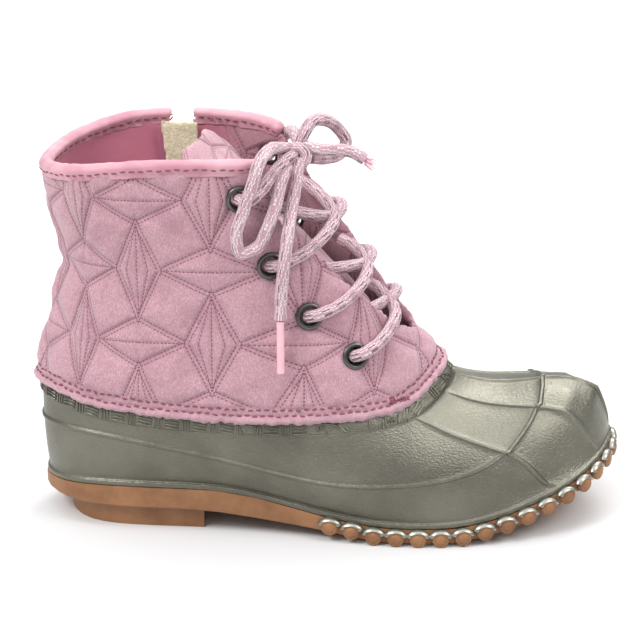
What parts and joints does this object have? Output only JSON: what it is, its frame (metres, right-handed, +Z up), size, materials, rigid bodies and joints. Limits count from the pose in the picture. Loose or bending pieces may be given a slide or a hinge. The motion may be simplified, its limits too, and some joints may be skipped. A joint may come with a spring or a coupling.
{
  "type": "duck boot",
  "caption": "Lace-up duck boot, right foot: quilted textile shaft on a moulded rubber shell, chain-edged gum sole with heel, side zip with swinging pull.",
  "frame": {"origin": "middle of the heel's flat underside, on the floor", "axes": "+X from the heel to the toe, +Y to the inner (medial) side, +Z up"},
  "size_m": [0.2865, 0.1112, 0.2006],
  "materials": {
    "quilt": "quilted heathered cloth, matt",
    "binding": "smooth rolled edge",
    "shell": "metallic pewter lacquer, satin",
    "gum": "gum rubber, matt",
    "lining": "brushed lining",
    "gunmetal": "dark polished metal",
    "lace": "knitted cord with dark flecks",
    "zip_tape": "woven tape",
    "fleece": "cream fleece"
  },
  "bodies": {
    "boot": {"outsole": "gum", "shell": "shell", "shaft": "quilt", "insole": "lining", "tongue": "quilt", "collar_binding_back": "binding", "collar_binding_front": "binding", "eyelet_outer_1": "gunmetal", "eyelet_outer_2": "gunmetal", "eyelet_outer_3": "gunmetal", "eyelet_outer_4": "gunmetal", "eyelet_inner_1": "gunmetal", "eyelet_inner_2": "gunmetal", "eyelet_inner_3": "gunmetal", "eyelet_inner_4": "gunmetal", "lace_crossing_high": "lace", "lace_crossing_middle": "lace", "lace_crossing_low": "lace", "lace_knot": "lace", "lace_loop_left": "lace", "lace_loop_up": "lace", "lace_end_hanging": "lace", "lace_end_right": "lace", "lace_tip_hanging": "gunmetal", "zip_tape_back": "zip_tape", "zip_tape_front": "zip_tape", "zip_slider": "gunmetal", "zip_guard": "fleece"},
    "pull_tab": {"zip_pull": "gunmetal"}
  },
  "joints": [
    {"name": "pull_swing", "type": "hinge", "parent": "boot", "child": "pull_tab", "pos_m": [0.02457, 0.04134, 0.15181], "axis": [0.9921, 0.0524, 0.1142], "range_deg": [0, 150]}
  ]
}
